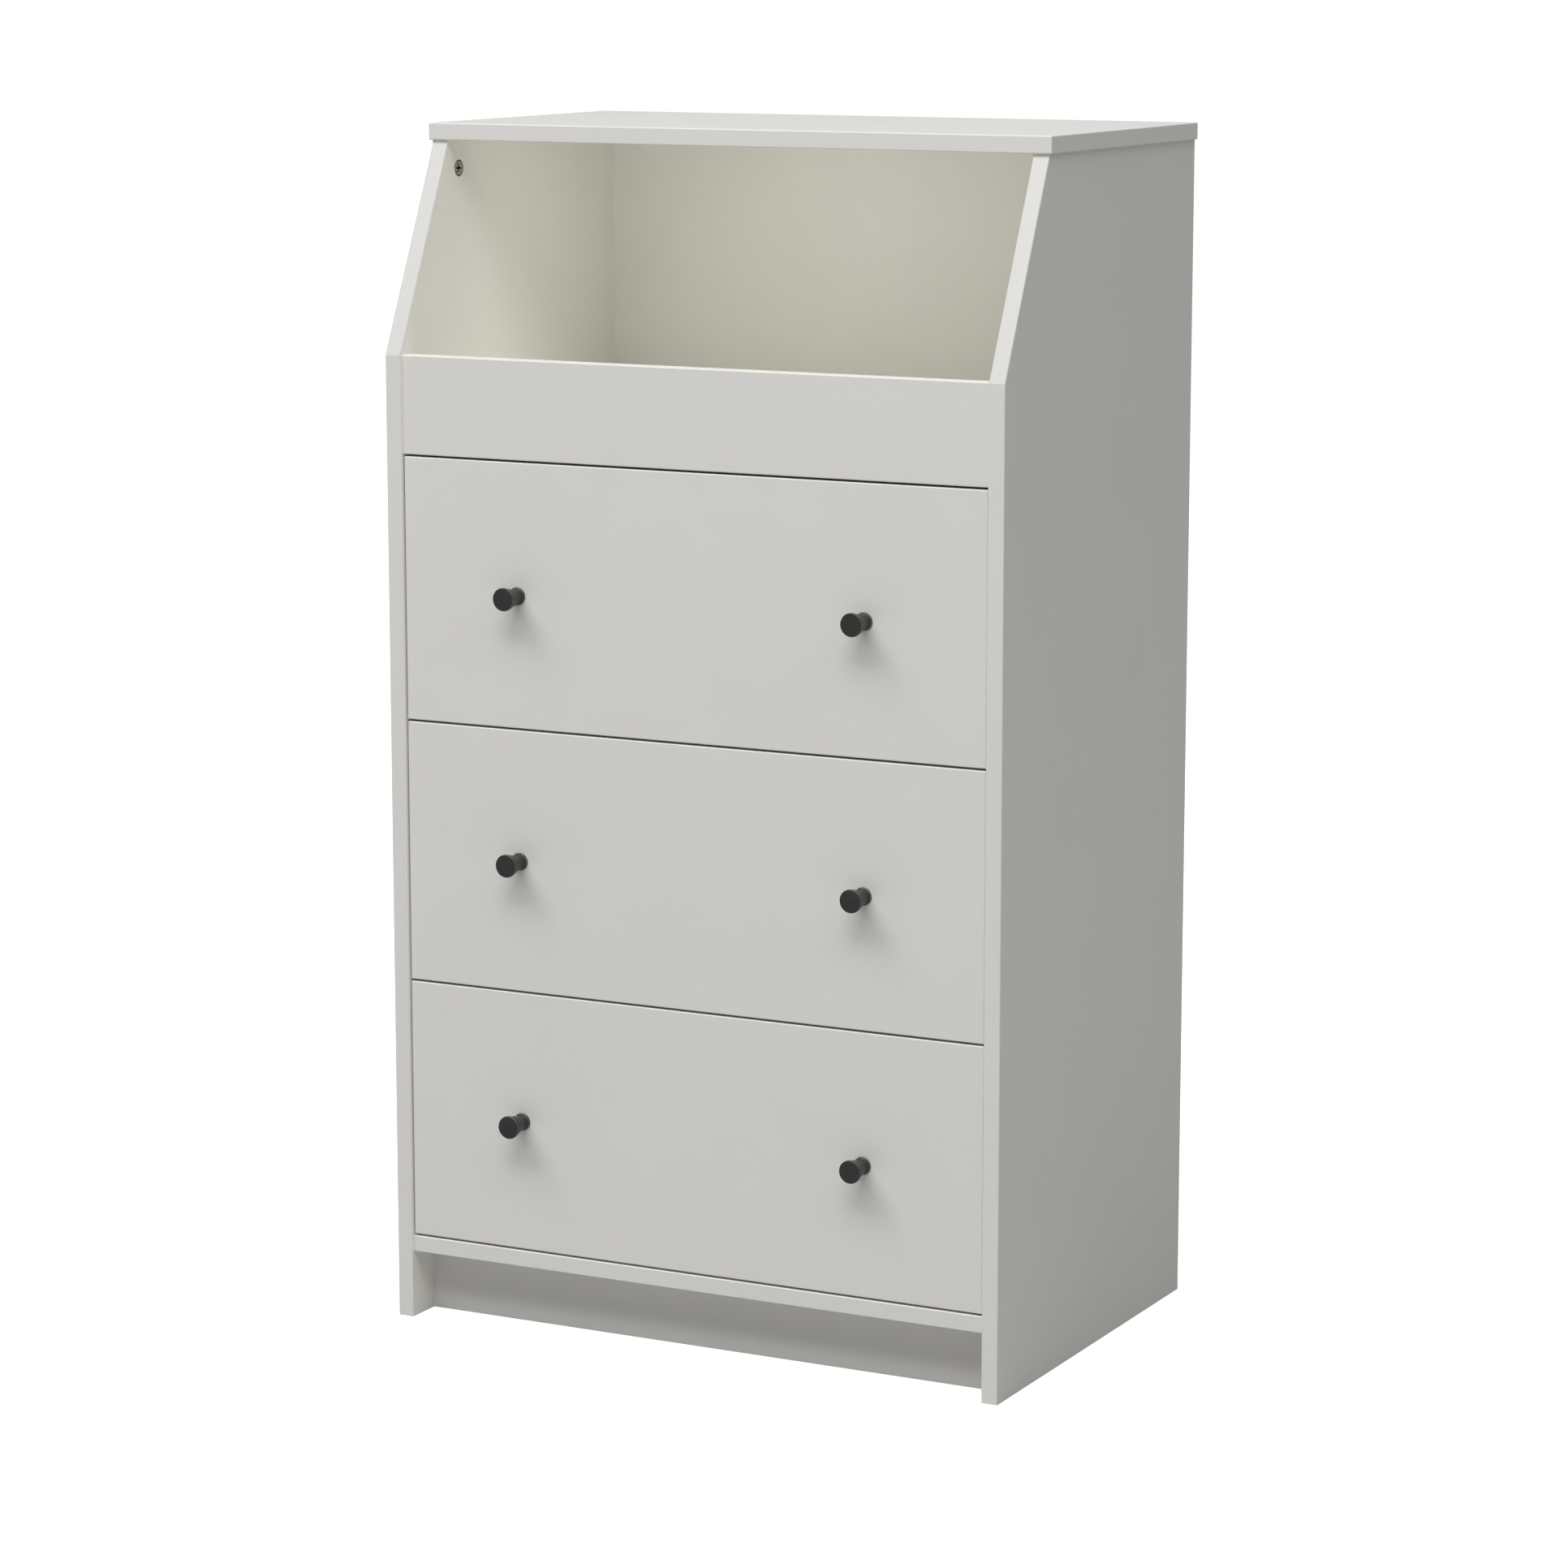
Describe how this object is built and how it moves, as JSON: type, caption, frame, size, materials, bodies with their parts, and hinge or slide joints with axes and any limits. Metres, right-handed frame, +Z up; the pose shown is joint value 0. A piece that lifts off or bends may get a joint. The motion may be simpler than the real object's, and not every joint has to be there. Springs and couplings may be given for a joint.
{
  "type": "chest of drawers",
  "caption": "Tall free-standing chest with inset drawers on roller runners, round knobs, a recessed plinth and an open cubby with sloping sides under an overhanging top.",
  "frame": {"origin": "on the floor under the middle of the whole chest, knobs included", "axes": "+Z up, drawer fronts face -Y, +X to the right of the user standing behind the origin and looking along +Y"},
  "size_m": [0.606, 0.424, 1.076],
  "materials": {
    "white_board": "satin white foil on particle board, light edge band",
    "hardboard": "white lacquered hardboard, brown fibre at the back",
    "drawer_base": "white lacquered hardboard",
    "black_metal": "satin anthracite powder coat",
    "zinc_fitting": "die-cast zinc, bare",
    "steel_fastener": "zinc-plated steel",
    "beech_dowel": "bare fluted beech",
    "runner_steel": "white powder-coated rolled steel",
    "roller_nylon": "natural nylon",
    "bracket_steel": "galvanised sheet steel"
  },
  "bodies": {
    "cabinet": {"side_panel_left": "white_board", "side_panel_right": "white_board", "top_panel": "white_board", "bottom_panel": "white_board", "cubby_shelf": "white_board", "front_rail": "white_board", "plinth_board": "white_board", "back_panel": "hardboard", "cam_locks": "zinc_fitting", "cam_bolts": "steel_fastener", "wooden_dowels": "beech_dowel", "back_panel_nails": "steel_fastener", "runner_screws": "steel_fastener", "wall_brackets": "bracket_steel", "wall_bracket_screws": "steel_fastener", "upper_cabinet_runners": "runner_steel", "middle_cabinet_runners": "runner_steel", "lower_cabinet_runners": "runner_steel"},
    "upper_drawer": {"upper_drawer_front": "white_board", "upper_drawer_side_left": "white_board", "upper_drawer_side_right": "white_board", "upper_drawer_back": "white_board", "upper_drawer_base": "drawer_base", "upper_drawer_knob_left": "black_metal", "upper_drawer_knob_right": "black_metal", "upper_drawer_knob_screws": "steel_fastener", "upper_drawer_cam_locks": "zinc_fitting", "upper_drawer_cam_bolts": "steel_fastener", "upper_drawer_screws": "steel_fastener", "upper_drawer_runners": "runner_steel"},
    "upper_front_rollers": {"upper_front_rollers": "roller_nylon"},
    "upper_rear_rollers": {"upper_rear_rollers": "roller_nylon"},
    "middle_drawer": {"middle_drawer_front": "white_board", "middle_drawer_side_left": "white_board", "middle_drawer_side_right": "white_board", "middle_drawer_back": "white_board", "middle_drawer_base": "drawer_base", "middle_drawer_knob_left": "black_metal", "middle_drawer_knob_right": "black_metal", "middle_drawer_knob_screws": "steel_fastener", "middle_drawer_cam_locks": "zinc_fitting", "middle_drawer_cam_bolts": "steel_fastener", "middle_drawer_screws": "steel_fastener", "middle_drawer_runners": "runner_steel"},
    "middle_front_rollers": {"middle_front_rollers": "roller_nylon"},
    "middle_rear_rollers": {"middle_rear_rollers": "roller_nylon"},
    "lower_drawer": {"lower_drawer_front": "white_board", "lower_drawer_side_left": "white_board", "lower_drawer_side_right": "white_board", "lower_drawer_back": "white_board", "lower_drawer_base": "drawer_base", "lower_drawer_knob_left": "black_metal", "lower_drawer_knob_right": "black_metal", "lower_drawer_knob_screws": "steel_fastener", "lower_drawer_cam_locks": "zinc_fitting", "lower_drawer_cam_bolts": "steel_fastener", "lower_drawer_screws": "steel_fastener", "lower_drawer_runners": "runner_steel"},
    "lower_front_rollers": {"lower_front_rollers": "roller_nylon"},
    "lower_rear_rollers": {"lower_rear_rollers": "roller_nylon"}
  },
  "joints": [
    {"name": "upper_drawer_slide", "type": "slide", "parent": "cabinet", "child": "upper_drawer", "axis": [0, -1, 0], "range_m": [0, 0.26]},
    {"name": "upper_front_roller_spin", "type": "hinge", "parent": "cabinet", "child": "upper_front_rollers", "pos_m": [0, -0.16, 0.5823], "axis": [1, 0, 0], "range_deg": [0, 1865]},
    {"name": "upper_rear_roller_spin", "type": "hinge", "parent": "upper_drawer", "child": "upper_rear_rollers", "pos_m": [0, 0.165, 0.5823], "axis": [1, 0, 0], "range_deg": [0, 1865]},
    {"name": "middle_drawer_slide", "type": "slide", "parent": "cabinet", "child": "middle_drawer", "axis": [0, -1, 0], "range_m": [0, 0.26]},
    {"name": "middle_front_roller_spin", "type": "hinge", "parent": "cabinet", "child": "middle_front_rollers", "pos_m": [0, -0.16, 0.3453], "axis": [1, 0, 0], "range_deg": [0, 1865]},
    {"name": "middle_rear_roller_spin", "type": "hinge", "parent": "middle_drawer", "child": "middle_rear_rollers", "pos_m": [0, 0.165, 0.3453], "axis": [1, 0, 0], "range_deg": [0, 1865]},
    {"name": "lower_drawer_slide", "type": "slide", "parent": "cabinet", "child": "lower_drawer", "axis": [0, -1, 0], "range_m": [0, 0.26]},
    {"name": "lower_front_roller_spin", "type": "hinge", "parent": "cabinet", "child": "lower_front_rollers", "pos_m": [0, -0.16, 0.1083], "axis": [1, 0, 0], "range_deg": [0, 1865]},
    {"name": "lower_rear_roller_spin", "type": "hinge", "parent": "lower_drawer", "child": "lower_rear_rollers", "pos_m": [0, 0.165, 0.1083], "axis": [1, 0, 0], "range_deg": [0, 1865]}
  ],
  "couplings": [
    {"joint": "upper_front_roller_spin", "follows": "upper_drawer_slide", "rad_per_m": 125},
    {"joint": "upper_rear_roller_spin", "follows": "upper_drawer_slide", "rad_per_m": 125},
    {"joint": "middle_front_roller_spin", "follows": "middle_drawer_slide", "rad_per_m": 125},
    {"joint": "middle_rear_roller_spin", "follows": "middle_drawer_slide", "rad_per_m": 125},
    {"joint": "lower_front_roller_spin", "follows": "lower_drawer_slide", "rad_per_m": 125},
    {"joint": "lower_rear_roller_spin", "follows": "lower_drawer_slide", "rad_per_m": 125}
  ]
}
